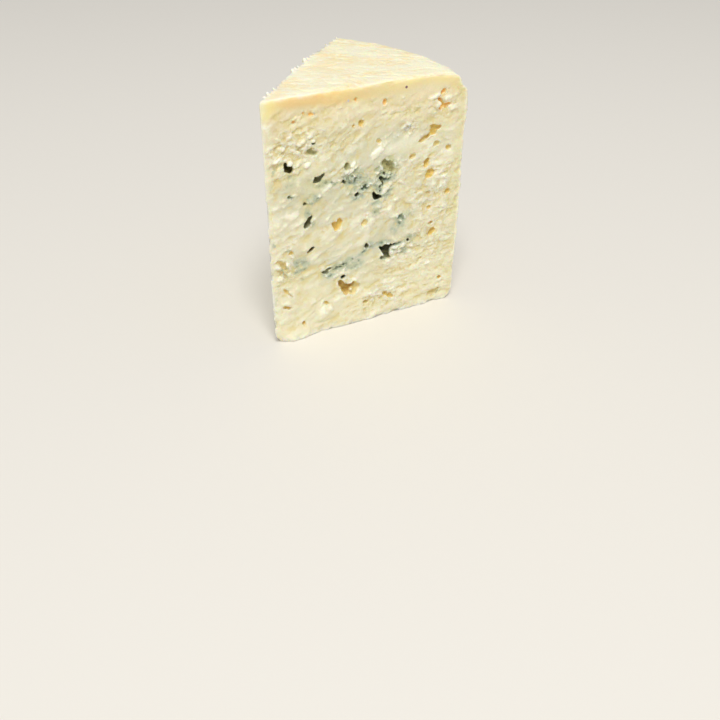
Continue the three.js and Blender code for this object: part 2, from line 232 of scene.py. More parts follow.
# What the first cut face carries. A hole has its look, its depth, and the lobes that make its
# mouth, each with its place along and up, its width, its height and its turn in degrees,
# anticlockwise as seen from outside.
frontHoles = [
    ("brown", 2.7, [(8.7, 71, 3.4, 3.7, 0), (9.4, 70.3, 2.2, 2.2, 0)]),
    ("dusky", 1.8, [(19.6, 64.8, 3.2, 2.4, 5), (21.2, 66, 2.8, 1.7, 40)]),
    ("dusky", 1.9, [(29.4, 62, 1.2, 3.4, 48)]),
    ("olive", 1.1, [(30.8, 67.2, 2.6, 2.8, 0)]),
    ("olive", 1.1, [(47.8, 64.2, 4, 3.6, 0), (46.4, 66, 2.4, 2, 0), (49.2, 62.6, 2, 1.8, 0)]),
    ("dark", 1.9, [(44.6, 60.3, 1.8, 1.2, -10), (45.2, 58.6, 0.9, 3.2, 10)]),
    ("dark", 1.4, [(46.2, 61.6, 0.8, 2.6, 35), (48.2, 61, 1.6, 0.8, 0)]),
    ("dark", 3.2, [(43, 53.3, 3.4, 2.2, -12), (42, 54.4, 1.1, 2.2, 15), (44.3, 52.9, 1.8, 1.5, 0)]),
    ("dusky", 2.8, [(15.2, 48.4, 2.5, 3.6, -12), (16.2, 50.3, 1.6, 2.8, -48)]),
    ("gold", 1.6, [(26, 45.5, 2.2, 2.6, 20), (27.7, 45.8, 2.2, 3.6, -14), (26.8, 44.2, 2.2, 2.6, 0)]),
    ("pale", 1, [(37.9, 43.8, 2.4, 3.2, -30)]),
    ("mould", 0.6, [(53.5, 42.9, 3, 2, -38), (54.5, 41.8, 1.4, 1.8, 20)]),
    ("gold", 1.3, [(65.7, 58.2, 3.4, 3, 20), (64.8, 57.3, 2.2, 2, 0)]),
    ("gold", 1.2, [(63.8, 62.4, 2.2, 2.8, -30), (64.5, 63.4, 1.4, 1.8, -30)]),
    ("gold", 1.3, [(67.9, 33.3, 3.2, 2.5, 30)]),
    ("gold", 0.9, [(67.3, 37.3, 2.8, 1, 6)]),
    ("gold", 1.2, [(66.4, 76, 3, 1.5, -20), (68, 75.3, 2.6, 1.7, 10), (66.2, 74.2, 2.4, 2.4, 0),
                   (64.4, 73.2, 3, 1.4, 31)]),
    ("pale", 1, [(62.4, 72, 3.6, 1.4, 25), (61.4, 71.4, 2, 1.2, 0)]),
    ("orange", 0.9, [(69.6, 89, 2.6, 1.6, 30), (68.6, 88.4, 1.8, 1.3, 10)]),
    ("orange", 1, [(67.8, 85.7, 1.7, 2.8, 40), (68.8, 84, 1.6, 1.8, 0)]),
    ("orange", 0.7, [(68.4, 82.7, 1.4, 1.4, 0), (70.8, 83.7, 5, 1.3, 10), (71, 82.2, 0.9, 2.2, 38)]),
    ("dusky", 2.2, [(39, 33.9, 1.7, 2.3, 22)]),
    ("dark", 3.6, [(47.9, 31.3, 3.8, 2.2, 8), (47.2, 29.8, 3.6, 2.8, 0), (50.8, 31.7, 3.4, 0.8, 12),
                   (45.2, 31.4, 0.8, 2.4, 35)]),
    ("dusky", 2.8, [(47.2, 27.9, 4, 3, 30), (48.8, 26.9, 2.4, 1.8, -20)]),
    ("dark", 1.6, [(57.4, 31.9, 1, 1.8, 25)]),
    ("dusky", 1.2, [(21.8, 26.6, 1.8, 1.4, 20), (23.4, 27.3, 2.6, 1, 15), (22.8, 25.9, 1.2, 1, 0)]),
    ("dark", 2.2, [(29.3, 22.6, 2, 1.6, 25)]),
    ("amber", 2.6, [(28.4, 19.6, 2.4, 3.6, 25), (30.2, 16.9, 3, 5, 20), (32.4, 18.4, 3.8, 3, -15)]),
    ("pale", 1.1, [(34.4, 17.2, 3.4, 3.6, 10), (33.2, 14.9, 3, 2.4, 0)]),
    ("pale", 0.9, [(3.8, 35.3, 3.6, 1.8, -20), (5.2, 33.8, 2.4, 2.6, 0), (5.9, 32.2, 1.2, 1.8, 20)]),
    ("gold", 0.7, [(5.6, 22.5, 1.3, 3.4, 38), (7.3, 20.2, 1, 3, 42)]),
    ("gold", 0.9, [(4.8, 16, 1.6, 1.6, 0), (6.1, 15.2, 3, 1.3, -22)]),
    ("gold", 0.8, [(22.2, 12.7, 3.4, 1.5, -40)]),
    ("gold", 1, [(12.5, 6.4, 1.4, 2.2, 0)]),
    ("gold", 1, [(47.8, 10, 2.6, 1.3, -38), (50.1, 8.5, 3.4, 1.9, -30)]),
    ("pale", 0.9, [(38.9, 8.7, 2.2, 1.3, 0)]),
    ("gold", 0.9, [(72.8, 11.2, 2.2, 1.6, 10)]),
    ("gold", 0.9, [(8.4, 38, 1.8, 1.3, 20), (9.2, 37, 0.9, 1.9, 20)]),
    ("brown", 2, [(16.7, 37.9, 2.4, 1.6, 25), (15.6, 37, 1.1, 2, -40)]),
    ("gold", 0.9, [(74, 49.2, 2.2, 1.8, 0)]),
    ("gold", 0.7, [(66, 44, 2.2, 1.4, 10)]),
    ("gold", 0.8, [(73.2, 66.9, 1.8, 1.4, 0)]),
    ("pale", 0.7, [(65.3, 50.2, 2, 1.4, 10)]),
    ("pale", 0.9, [(57.6, 66.2, 2.6, 1.8, 0)]),
    ("pale", 0.9, [(68, 69.2, 2.4, 1.5, 0)]),
    ("gold", 1.1, [(36.3, 82.2, 2.3, 2.2, 0)]),
    ("gold", 0.8, [(33.3, 81.7, 1.4, 1.4, 0)]),
    ("orange", 0.8, [(45.6, 88.2, 1.6, 1.8, 0)]),
    ("orange", 0.8, [(34.2, 90.9, 1.2, 1.3, 0)]),
    ("orange", 0.7, [(17.8, 88.3, 2.1, 1.6, -20)]),
    ("orange", 0.6, [(15.2, 89.1, 1, 1.4, 0)]),
    ("orange", 0.6, [(11.4, 86.7, 1.9, 1.1, -25)]),
    ("brown", 1.3, [(18.3, 78.2, 2, 1, 0)]),
    ("olive", 0.9, [(17.2, 75.4, 1.8, 1.2, 0), (18.4, 74.7, 3.6, 1.9, -15)]),
    ("dark", 2, [(35, 55.7, 2.2, 1.7, 10)]),
    ("mould", 1.5, [(38.6, 58.2, 1.6, 1.9, 0), (37.2, 57.7, 1.2, 1.2, 0)]),
    ("dusky", 1.1, [(8.4, 60.2, 1.3, 1, -15), (9.3, 59.9, 1, 1, 0)]),
    ("dusky", 1.5, [(14.6, 56.2, 1.6, 1.3, 0)]),
    ("mould", 1, [(24.8, 62.6, 1.8, 0.9, -10)]),
    ("pale", 0.6, [(4.2, 30.8, 1, 2.4, 35), (5.8, 28.6, 1, 2.6, 30)]),
    ("gold", 0.9, [(43.9, 74.3, 1, 1.8, 40), (45.2, 72.6, 0.7, 1.6, 20)]),
    ("pale", 0.7, [(70.8, 4.6, 4.4, 2.2, 12)]),
]

# A crumb or flap that stands out of the face: along, up, width, height, turn, how far it stands.
frontCrumbs = [
    (9.2, 72.6, 2, 1.5, 20, 0.8), (42.8, 70.6, 5.8, 2.8, 30, 1), (42.2, 69.2, 4.4, 1.6, 15, 0.7),
    (33.3, 67.8, 2.8, 1.4, 38, 0.9), (31, 64.8, 1.3, 2.6, 25, 0.7), (32.8, 64.2, 1.6, 1, -20, 0.6),
    (32, 62.9, 0.8, 1.8, 35, 0.6), (33.6, 63, 0.7, 1.6, 10, 0.6), (30.4, 63.6, 0.9, 1.5, -20, 0.6),
    (71.6, 86.6, 3, 4.4, -20, 0.4), (66, 87.6, 4.4, 1.2, 22, 0.6), (73.3, 81.9, 3.6, 1.2, 10, 0.7),
    (7.4, 32, 1.4, 5.6, 30, 0.7), (8.6, 28.6, 1, 3.2, 20, 0.6), (20.3, 10, 1.4, 4.4, -12, 0.7),
    (23.6, 10.6, 1, 3, 30, 0.6), (32.4, 20, 0.7, 2.4, -5, 0.6), (34, 20.4, 0.7, 1.9, 25, 0.6),
    (46.9, 56.3, 2, 1, 30, 0.6), (39.6, 58.9, 2.6, 0.8, 35, 0.6), (36.4, 58.6, 2.2, 0.8, 35, 0.5),
    (19.6, 58.4, 2.6, 1, 30, 0.6), (16.6, 57.2, 1.6, 1, 20, 0.6), (10.4, 60.8, 1.4, 0.9, 20, 0.5),
    (52.6, 29.4, 2.4, 1.6, 10, 0.8), (54.6, 30.6, 2, 1.2, 30, 0.7), (53.4, 27.6, 1.8, 1.4, 0, 0.7),
    (56, 28.4, 1.6, 1.4, -20, 0.6), (59, 29.2, 1.8, 1.2, -50, 0.6), (50.6, 26, 1.8, 1.2, 20, 0.7),
    (27.9, 62.4, 1.4, 0.9, 30, 0.5), (43.8, 63.4, 3.4, 2, 20, 0.7), (44.4, 65, 1.2, 2.4, 35, 0.6),
    (47.4, 66.6, 0.7, 2.2, 30, 0.5), (43.2, 59, 1.8, 3.8, 10, 0.7), (45.8, 55.6, 1.5, 3.2, -15, 0.6),
    (47.6, 57, 2.4, 1.4, 30, 0.5), (41.6, 60.9, 1.4, 2.6, 0, 0.5), (65, 87.4, 4.8, 1.1, 10, 0.7),
    (67, 84.2, 2.4, 2.8, 40, 0.6), (70.4, 86, 2, 3.4, -20, 0.5), (73, 82.6, 3.4, 1.4, 20, 0.6),
    (55.2, 78.6, 2.2, 0.9, -35, 0.7), (56.4, 77.6, 1.9, 0.8, -30, 0.7), (54.6, 77.3, 0.8, 2.4, 10, 0.6),
    (57.6, 75.8, 1.6, 0.7, -30, 0.6), (55.8, 74.6, 0.7, 2.4, -10, 0.5), (31.4, 19.6, 0.8, 1.8, -15, 0.5),
    (21.2, 8.8, 6, 6.4, 0, 0.3), (7.2, 19.6, 0.5, 3.6, 45, 0.35), (49.8, 28.3, 1.8, 3, -10, 0.8),
    (51.6, 30.4, 3.6, 1.3, 12, 0.7), (45.6, 28.9, 1, 2.6, 30, 0.6), (48, 25.4, 3.4, 1, -25, 0.6),
    (46.4, 33, 2.2, 1, 30, 0.5), (59.2, 33.4, 1.6, 2.2, 0, 0.5), (21, 28, 1.6, 1.1, 20, 0.6),
    (28.2, 28.8, 2.2, 1, 10, 0.5), (3, 33.2, 2.8, 1.6, -30, 0.7), (4, 28.6, 2.4, 2.8, 0, 0.6),
    (9, 36.2, 0.8, 2.4, 35, 0.5), (18.2, 79, 1.4, 0.8, 0, 0.6), (15.6, 83.6, 1.8, 1.3, 20, 0.6),
    (16.2, 82, 1.6, 0.9, -20, 0.6), (11, 84, 1.3, 0.8, 40, 0.5), (6.4, 80.8, 3.4, 1, -38, 0.5),
    (18.6, 76.6, 1.2, 2, 20, 0.5), (15.2, 76, 1.2, 1.4, 0, 0.5), (20, 13.6, 1.4, 2.4, -20, 0.4),
    (22.4, 10.6, 2.6, 1, -30, 0.4), (5.6, 17.4, 4, 0.9, -22, 0.4), (68.6, 37, 2.2, 1, 35, 0.5),
    (66, 36.2, 2.2, 0.9, -35, 0.5), (30.9, 57.2, 2.6, 0.8, 40, 0.4), (28.2, 42.8, 1.5, 0.9, 10, 0.4),
    (13.6, 79.2, 3.4, 1.4, 30, 0.7), (17.4, 81, 2.8, 1.2, 20, 0.6), (6.8, 77.4, 2.8, 1.2, 38, 0.7),
    (12.2, 75.6, 3, 1.3, -24, 0.7), (4.6, 74, 3.2, 1.3, 20, 0.6), (12.8, 72.2, 2.8, 1.5, 42, 0.8),
    (15.8, 71.2, 2.6, 1.2, 15, 0.6), (12, 69.4, 1.9, 1.1, 60, 0.6), (9.4, 81.6, 2.4, 1, 30, 0.5),
]

# Where the paste is crumbly, and where it is smooth: along, up, reach along, reach up, strength.
frontCrumbly = [
    (11, 77, 11, 8, 0.72), (32, 64, 5, 5, 0.8), (46, 60, 5, 6, 0.8), (55.5, 77, 4, 3, 1),
    (31, 20, 6, 4, 0.5), (8, 31, 6, 6, 0.6), (47, 10, 12, 6, 0.7), (62, 22, 20, 14, 0.42),
    (68, 46, 16, 24, 0.45), (54, 29, 6, 5, 0.9), (50, 50, 10, 8, 0.3), (38, 58, 4, 3, 0.6),
    (68, 84, 5, 4, 0.5), (26, 26, 6, 3, 0.5), (56, 84, 9, 3, 0.45), (30, 76, 10, 5, 0.4),
]
frontSmooth = [
    (50, 73, 13, 5, 0.3), (26, 38, 12, 5, 0.1), (14, 22, 9, 4, 0.2), (62, 88, 8, 4, 0.2),
    (24, 54, 12, 5, 0.05),
]

# Shallow dents, or swells where the depth is less than 0: along, up, reach along, reach up, depth.
frontDents = [
    (51, 75, 11, 4, 0.9), (17, 74, 4, 2.5, 0.8), (70, 4, 6, 2, 0.7), (35, 16, 4, 3, 0.6),
    (70, 66, 6, 8, 0.4), (38, 38, 5, 4, -0.5), (62, 72, 5, 2, 0.4), (21, 8, 3, 3, -0.5),
    (12, 16, 9, 3, -0.3), (7, 0.5, 7, 4, -1.7), (13.5, 4, 1.4, 3, -0.7), (21.2, 4.6, 4, 0.7, 0.4),
    (17.2, 8.6, 0.6, 3, 0.3),
]

# Where mould shows: along, up, reach along, reach up, turn, strength, tone from 0, blue-green,
# to 1, olive.
frontMould = [
    (9, 66.6, 2.4, 3, 0, 0.35, 0.8), (9, 60.2, 2, 0.8, -10, 0.5, 0.3), (17.4, 58, 4, 1.5, 30, 0.42, 0.2),
    (15.6, 52.6, 1.8, 2.6, 0, 0.4, 0.4), (16.2, 48.4, 2.6, 2.4, -20, 0.5, 0.5),
    (21.4, 62.8, 5, 1.7, -8, 0.55, 0.7), (18, 65.4, 2.8, 0.7, 0, 0.35, 0.5),
    (25, 62.4, 2.4, 1, -10, 0.55, 0.4), (34, 61.8, 4.6, 2, 0, 0.66, 0.1),
    (34, 64.8, 3.2, 2, 0, 0.45, 0.6), (38.2, 58.4, 3.4, 1.8, 30, 0.62, 0.1),
    (33, 57.6, 3, 1.4, 30, 0.42, 0.5), (35, 54.6, 2.8, 1.4, 0, 0.55, 0),
    (47.8, 64, 3.4, 3.6, 0, 0.8, 0.9), (47, 60.8, 3.8, 1.6, -10, 0.8, 0.1),
    (43.4, 57.6, 2.6, 4, 0, 0.55, 0.2), (47, 54.6, 3, 2.2, 30, 0.6, 0.05),
    (42.4, 51.2, 4, 1.6, 0, 0.4, 0.1), (42.3, 47.4, 2.6, 1.8, 20, 0.5, 0.5),
    (53.6, 42.8, 2.8, 2.2, -25, 0.62, 0.3), (52.6, 40, 3, 2.6, 0, 0.55, 0.05),
    (51, 38, 2.4, 2.2, 0, 0.45, 0), (57.6, 43.6, 2.4, 2, 0, 0.35, 0.4),
    (40.4, 33.8, 3, 2.2, 0, 0.55, 0.1), (37.6, 31.6, 3.4, 1.2, 35, 0.6, 0.1),
    (33, 29.8, 4.2, 1.3, 20, 0.6, 0.2), (28.4, 27.6, 5, 1.8, 15, 0.62, 0.4),
    (23.6, 24.6, 3, 1.6, 0, 0.5, 0.1), (33.6, 26.6, 5, 2.6, 0, 0.45, 0.3),
    (36.2, 27.4, 0.7, 2.6, 30, 0.6, 0.2), (46, 33.2, 4.2, 1.4, 0, 0.6, 0.1),
    (51, 30.2, 3.6, 1.6, 20, 0.5, 0.2), (58.4, 33, 2.4, 2.2, 0, 0.5, 0.4),
    (59.4, 30, 2.2, 1, -30, 0.4, 0.4), (13.4, 33, 3.6, 3, 0, 0.35, 0.1),
    (12.6, 30, 2.6, 0.8, 10, 0.5, 0.4), (7.4, 39.2, 1.6, 1, -20, 0.45, 0.5),
    (5.6, 29.4, 3, 1.2, -30, 0.25, 0.5), (0.8, 44, 1.4, 3.6, 0, 0.4, 0.6),
    (1.4, 71, 2.4, 1.8, -20, 0.55, 0.1), (1.8, 24.4, 1.8, 3, 0, 0.3, 0.8),
    (12.4, 26, 0.9, 0.7, 0, 0.5, 0.8), (72.6, 4.6, 2.6, 1.4, 0, 0.35, 0.9),
    (24, 2.8, 3, 0.9, 0, 0.3, 0.9), (17.6, 73, 2.8, 1.6, -15, 0.35, 0.9),
    (18.4, 57.6, 3, 1.4, 30, 0.62, 0.1), (8.8, 60.2, 1.6, 1, 0, 0.6, 0.2),
    (31.4, 63.6, 2.6, 2.2, 0, 0.62, 0.3), (44.6, 63.2, 2.4, 3, 0, 0.6, 0.3),
    (46.8, 60, 3, 1.6, 20, 0.95, 0.15), (43.6, 56.6, 1.8, 3.2, 0, 0.7, 0.2),
    (5.2, 31, 1.4, 4, 25, 0.3, 0.2), (10.8, 29.6, 2, 1.1, 30, 0.58, 0.3),
    (10.6, 33.4, 1.4, 2.2, 0, 0.52, 0.2), (52.6, 31.4, 3.4, 1.2, 10, 0.6, 0.2),
    (55, 28.6, 3, 2.4, 0, 0.42, 0.3), (46.6, 26.6, 2, 1.4, 0, 0.5, 0.3), (25.6, 35, 3, 2.2, 0, 0.16, 0.2),
    (8.6, 64.6, 2, 0.8, 0, 0.4, 0.5), (49.4, 74.6, 9, 3.4, 15, 0.2, 0.5), (34, 30, 12, 5, 20, 0.2, 0.3),
    (36, 60, 14, 6, 0, 0.2, 0.3), (20, 55, 12, 8, 20, 0.14, 0.4),
]

# Each look of a hole: where its colour starts and where it is full, in millimetres below the
# face, its colour at the mouth and its colour deep down. The deep colour is partly the hole's own
# colour and partly painted light: painted shade darkens the dark, brown, dusky, olive, mould and
# amber holes downwards, and a painted glow of light through the paste deepens the gold, pale and
# orange ones.
looks = {
    "dark": (0.15, 1.2, (146, 148, 116), (86, 86, 62)),
    "brown": (0.15, 1.2, (150, 144, 100), (106, 96, 50)),
    "dusky": (0.15, 1.4, (178, 178, 144), (136, 134, 98)),
    "olive": (0.1, 1.4, (206, 201, 152), (170, 164, 108)),
    "mould": (0.1, 1, (178, 190, 166), (128, 142, 114)),
    "gold": (0.05, 0.9, (232, 214, 156), (230, 200, 108)),
    "pale": (0.05, 0.9, (230, 217, 164), (234, 215, 148)),
    "orange": (0.05, 0.7, (238, 212, 150), (246, 200, 108)),
    "amber": (0.2, 1.8, (230, 214, 160), (212, 180, 98)),
}

# Where the paste is tinged grey by mould behind it: along, up, reach along, reach up, strength.
frontHaze = [
    (34, 64, 20, 11, 0.62), (14, 62, 12, 12, 0.42), (22, 78, 14, 6, 0.3), (48, 72, 10, 6, 0.35),
    (30, 27, 16, 7, 0.6), (48, 36, 9, 8, 0.5), (12, 31, 8, 6, 0.4), (24, 50, 14, 5, 0.3),
]

# The second cut face has the same kinds of things, scattered along three slanting seams where
# the mould has spread. A seam is its start, its rise and its bow.
backScatter = {
    "holes": 50, "spots": 40, "margin": 4, "seed": 23,
    "seams": [(18, 0.55, 6), (42, 0.35, -5), (62, 0.2, 4)], "seamShare": 0.55, "seamReach": 62,
    "cleanLooks": ["gold", "pale", "gold", "amber", "orange"],
    "mouldyLooks": ["dark", "mould", "olive", "dark"],
}


def scatterBack():
    rng = np.random.default_rng(backScatter["seed"])
    margin, seams, seamReach = backScatter["margin"], backScatter["seams"], backScatter["seamReach"]
    holes, crumbs, spots = [], [], []

    def seamHeight(seam, along, loose):
        start, rise, bow = seam
        return start + rise * along + bow * math.sin(along / 20) + rng.normal() * loose

    while len(holes) < backScatter["holes"]:
        along = margin + (wedge["radius"] - 2 * margin) * rng.random()
        up = margin + (wedge["height"] - 2 * margin) * rng.random()
        look = rng.choice(backScatter["cleanLooks"])
        if rng.random() < backScatter["seamShare"] and along < seamReach:
            up = seamHeight(seams[rng.integers(len(seams))], along, 3)
            look = rng.choice(backScatter["mouldyLooks"])
        size = (0.9 + 3.2 * rng.random() ** 2.2) * (0.6 if look in ("pale", "orange") else 1)
        far = all(math.hypot(along - hole[2][0][0], up - hole[2][0][1]) > size + 2.2 for hole in holes)
        if not far or not margin < up < wedge["height"] - 2 * margin:
            continue
        lobes = []
        for lobe in range(rng.integers(1, 4)):
            reach = size * 0.4 * (lobe > 0)
            way = rng.random() * 2 * math.pi
            lobes.append((along + reach * math.cos(way), up + reach * math.sin(way),
                          size * (0.55 + 0.6 * rng.random()), size * (0.4 + 0.6 * rng.random()),
                          rng.uniform(-40, 40)))
        holes.append((str(look), 0.6 + size * (0.9 if look == "dark" else 0.5), lobes))
        for _ in range(2):
            way = rng.random() * 2 * math.pi
            crumbs.append((along + size * 0.8 * math.cos(way), up + size * 0.8 * math.sin(way),
                           0.8 + 2 * rng.random(), 0.7 + 1.2 * rng.random(), rng.uniform(-40, 40), 0.6))
            if look in backScatter["mouldyLooks"]:
                spots.append((along + rng.normal() * 2, up + rng.normal() * 1.5, 1.5 + 3 * rng.random(),
                              0.8 + 1.6 * rng.random(), rng.uniform(-20, 40), rng.uniform(0.4, 0.8),
                              rng.random() ** 2))
    for order in range(backScatter["spots"]):
        along = seamReach * rng.random()
        up = seamHeight(seams[order % len(seams)], along, 2)
        spots.append((along, up, 2 + 3.5 * rng.random(), 0.8 + rng.random(), rng.uniform(0, 40),
                      rng.uniform(0.3, 0.7), rng.random() ** 2))
    return holes, crumbs, spots


backHoles, backCrumbs, backMould = scatterBack()
backCrumbly = [
    (12, 20, 10, 10, 0.8), (58, 30, 20, 24, 0.7), (66, 60, 14, 22, 0.7), (30, 60, 8, 8, 0.5),
    (44, 84, 10, 5, 0.5), (24, 8, 14, 5, 0.5),
]
backSmooth = [(34, 46, 12, 5, 0.3), (20, 30, 9, 5, 0.3), (60, 84, 12, 5, 0.25), (50, 14, 12, 5, 0.2)]
backDents = [(30, 34, 9, 5, 0.7), (56, 72, 8, 5, 0.7), (14, 60, 5, 4, 0.5), (44, 50, 7, 5, -0.5)]
backHaze = [(30, 34, 20, 9, 0.55), (34, 54, 22, 9, 0.5), (24, 68, 16, 7, 0.4)]

# Each cut face: its directions along and outward, how its turns flip, and how its strokes rise.
angle = wedge["angle"]
cutFaces = {
    "front": {"run": np.array([1, 0, 0]), "out": np.array([0, -1, 0]), "flip": 1, "rise": 24, "seed": 100,
              "holes": frontHoles, "crumbs": frontCrumbs, "crumbly": frontCrumbly, "smooth": frontSmooth,
              "dents": frontDents, "mould": frontMould, "haze": frontHaze},
    "back": {"run": np.array([math.cos(angle), math.sin(angle), 0]),
             "out": np.array([-math.sin(angle), math.cos(angle), 0]), "flip": -1, "rise": 18, "seed": 300,
             "holes": backHoles, "crumbs": backCrumbs, "crumbly": backCrumbly, "smooth": backSmooth,
             "dents": backDents, "mould": backMould, "haze": backHaze},
}

meshing = {
    "shoulderSteps": 8, "spinSteps": 40, "mergeGap": 0.01, "holeDetail": 4, "crumbDetail": 3,
    "holeVoxel": 0.22, "skinVoxel": 0.36, "triangles": 196000,
}


# The wedge's solid form: half a section of the wheel, spun through the wedge's angle.

def wedgeBlank():
    radius, height = wedge["radius"], wedge["height"]
    bpy.ops.object.select_all(action="DESELECT")
    bpy.ops.mesh.primitive_plane_add(size=1, location=(0, 0, 0))
    blank = bpy.context.active_object
    blank.name = "cheese"
    blank.data.name = "cheese"
    bpy.ops.object.mode_set(mode="EDIT")
    bpy.ops.mesh.select_all(action="SELECT")
    bpy.ops.transform.resize(value=(radius, height, 1))
    bpy.ops.transform.rotate(value=math.pi / 2, orient_axis="X", center_override=(0, 0, 0))
    bpy.ops.transform.translate(value=(radius / 2, 0, height / 2))
    for up, shoulder in ((height, wedge["topShoulder"]), (0, wedge["bottomShoulder"])):
        mesh = bmesh.from_edit_mesh(blank.data)
        for vertex in mesh.verts:
            vertex.select = abs(vertex.co.x - radius) < 0.5 and abs(vertex.co.z - up) < 0.5
        mesh.select_flush_mode()
        bmesh.update_edit_mesh(blank.data)
        bpy.ops.mesh.bevel(offset=shoulder, segments=meshing["shoulderSteps"], affect="VERTICES")
    bpy.ops.mesh.select_all(action="SELECT")
    bpy.ops.mesh.spin(steps=meshing["spinSteps"], angle=wedge["angle"], center=(0, 0, 0), axis=(0, 0, -1))
    bpy.ops.mesh.select_all(action="SELECT")
    bpy.ops.mesh.remove_doubles(threshold=meshing["mergeGap"])
    bpy.ops.mesh.normals_make_consistent(inside=False)
    bpy.ops.object.mode_set(mode="OBJECT")
    tightenShoulder(blank)
    return blank


def shoulderAt(share):
    return wedge["topShoulder"] + (wedge["farShoulder"] - wedge["topShoulder"]) * np.sqrt(share)


def arcShare(points):
    return np.clip(np.arctan2(points[:, 1], points[:, 0]) / wedge["angle"], 0, 1)


def tightenShoulder(blank):
    # The upper shoulder is rounder at the first cut face than at the second.
    points = readPoints(blank)
    reach = np.hypot(points[:, 0], points[:, 1])
    fromSide, fromTop = wedge["radius"] - reach, wedge["height"] - points[:, 2]
    onShoulder = (fromSide < wedge["topShoulder"] + 0.1) & (fromTop < wedge["topShoulder"] + 0.1)
    scale = np.where(onShoulder, shoulderAt(arcShare(points)) / wedge["topShoulder"], 1)
    newReach = wedge["radius"] - fromSide * scale
    points[:, :2] *= np.where(reach > 1, newReach / np.maximum(reach, 1), 1)[:, None]
    points[:, 2] = wedge["height"] - fromTop * scale
    writePoints(blank, points)


def lumps(name, shapes, detail):
    # Uneven lumps in one mesh. A shape is: face, along, up, depth of its middle, width, height,
    # depth, turn, unevenness.
    bpy.ops.object.select_all(action="DESELECT")
    bpy.ops.mesh.primitive_ico_sphere_add(subdivisions=detail, radius=1, location=(0, 0, 0))
    lump = bpy.context.active_object
    lump.name = name
    ball = readPoints(lump)
    sides = np.array([face.vertices[:] for face in lump.data.polygons])
    allPoints, allSides = [], []
    for order, (face, along, up, depth, wide, tall, deep, turn, uneven) in enumerate(shapes):
        wobble = gradientNoise(ball * 1.3 + order * 3.7, 7) + 0.7 * gradientNoise(ball * 3.1 + order, 11)
        wobble += 0.4 * gradientNoise(ball * 5.3 + order, 13)
        shaped = ball * (1 + uneven * wobble[:, None]) * (wide / 2, deep / 2, tall / 2)
        angle = math.radians(turn) * face["flip"]
        across = shaped[:, 0] * math.cos(angle) - shaped[:, 2] * math.sin(angle)
        rise = shaped[:, 0] * math.sin(angle) + shaped[:, 2] * math.cos(angle)
        place = face["run"] * (along + across)[:, None] - face["out"] * (depth + shaped[:, 1])[:, None]
        place[:, 2] += up + rise
        allSides.append(sides + len(ball) * order)
        allPoints.append(place)
    lump.data.clear_geometry()
    lump.data.from_pydata(np.concatenate(allPoints).tolist(), [], np.concatenate(allSides).tolist())
    lump.data.update()
    pickOnly(lump)
    bpy.ops.object.mode_set(mode="EDIT")
    bpy.ops.mesh.select_all(action="SELECT")
    bpy.ops.mesh.normals_make_consistent(inside=False)
    bpy.ops.object.mode_set(mode="OBJECT")
    return lump


# How uneven each kind of lump is.
unevenness = {"hole": 0.34, "crumb": 0.4, "strewnCrumb": 0.7, "edgeCrumb": 0.28}


def holeShapes():
    for face in cutFaces.values():
        for _, deep, lobes in face["holes"]:
            for along, up, wide, tall, turn in lobes:
                yield (face, along, up, deep * 0.12, wide * 1.08, tall * 1.08, deep * 2, turn,
                       unevenness["hole"])


def around(place, along, up):
    # 1 at a place's middle, less towards the end of its reach.
    across, rise = (along - place[0]) / place[2], (up - place[1]) / place[3]
    return np.exp(-(across ** 2 + rise ** 2))


def strengthAt(places, along, up):
    total = np.zeros(len(along))
    for place in places:
        total = np.maximum(total, place[4] * around(place, along, up))
    return total


# More crumbs are strewn where the paste is crumbly, and none over a hole's mouth.
strewn = {"tries": 1500, "share": 0.3, "margin": 1.5, "underTop": 4.5, "clearOfMouth": 1.1}


def crumbShapes():
    tries, margin = strewn["tries"], strewn["margin"]
    for face in cutFaces.values():
        for along, up, wide, tall, turn, stand in face["crumbs"]:
            yield (face, along, up, 0.1, wide, tall, stand * 2.2, turn, unevenness["crumb"])
        rng = np.random.default_rng(face["seed"])
        along = rng.uniform(margin, wedge["radius"] - margin, tries)
        up = rng.uniform(margin, wedge["height"] - strewn["underTop"], tries)
        kept = rng.random(tries) < strewn["share"] * strengthAt(face["crumbly"], along, up)
        kept &= mouthsAt(face, along, up) > strewn["clearOfMouth"]
        for middle, rise in zip(along[kept], up[kept]):
            size = 0.7 + 0.8 * rng.random() ** 2
            yield (face, middle, rise, 0.1, size * 1.7, size * 0.7, size * 0.9, rng.uniform(-30, 60),
                   unevenness["strewnCrumb"])


# Crumbs that stand up from the top edge of the second cut face: distance from the tip and size.
edgeCrumbs = [
    (4.1, 1.7), (7.6, 1.9), (10.2, 0.8), (13.2, 1.8), (16.2, 1.1), (18.6, 0.8), (21, 0.9), (25.4, 0.7),
    (32.5, 2.2), (35, 1.7), (37.6, 1.6), (40.4, 1), (44.8, 2.3), (48, 1.7), (50.6, 1.3), (54, 1.1),
    (57.7, 1.1), (62.5, 1.1), (66.4, 1.5), (69.7, 1.2), (73.4, 1), (77.2, 1.4),
]


def edgeShapes():
    for order, (along, size) in enumerate(edgeCrumbs):
        lean = 22 * math.sin(order * 2.3)
        yield (cutFaces["back"], along, wedge["height"] - 0.4 + 0.12 * size, -0.05 * size,
               size * 0.8, size * 0.95, size * 0.95, lean, unevenness["edgeCrumb"])


def turned(along, up, place, turn):
    angle = math.radians(turn)
    across, rise = along - place[0], up - place[1]
    return (across * math.cos(angle) + rise * math.sin(angle),
            rise * math.cos(angle) - across * math.sin(angle))


plainTone = 0.3     # of the mould where no spot is named


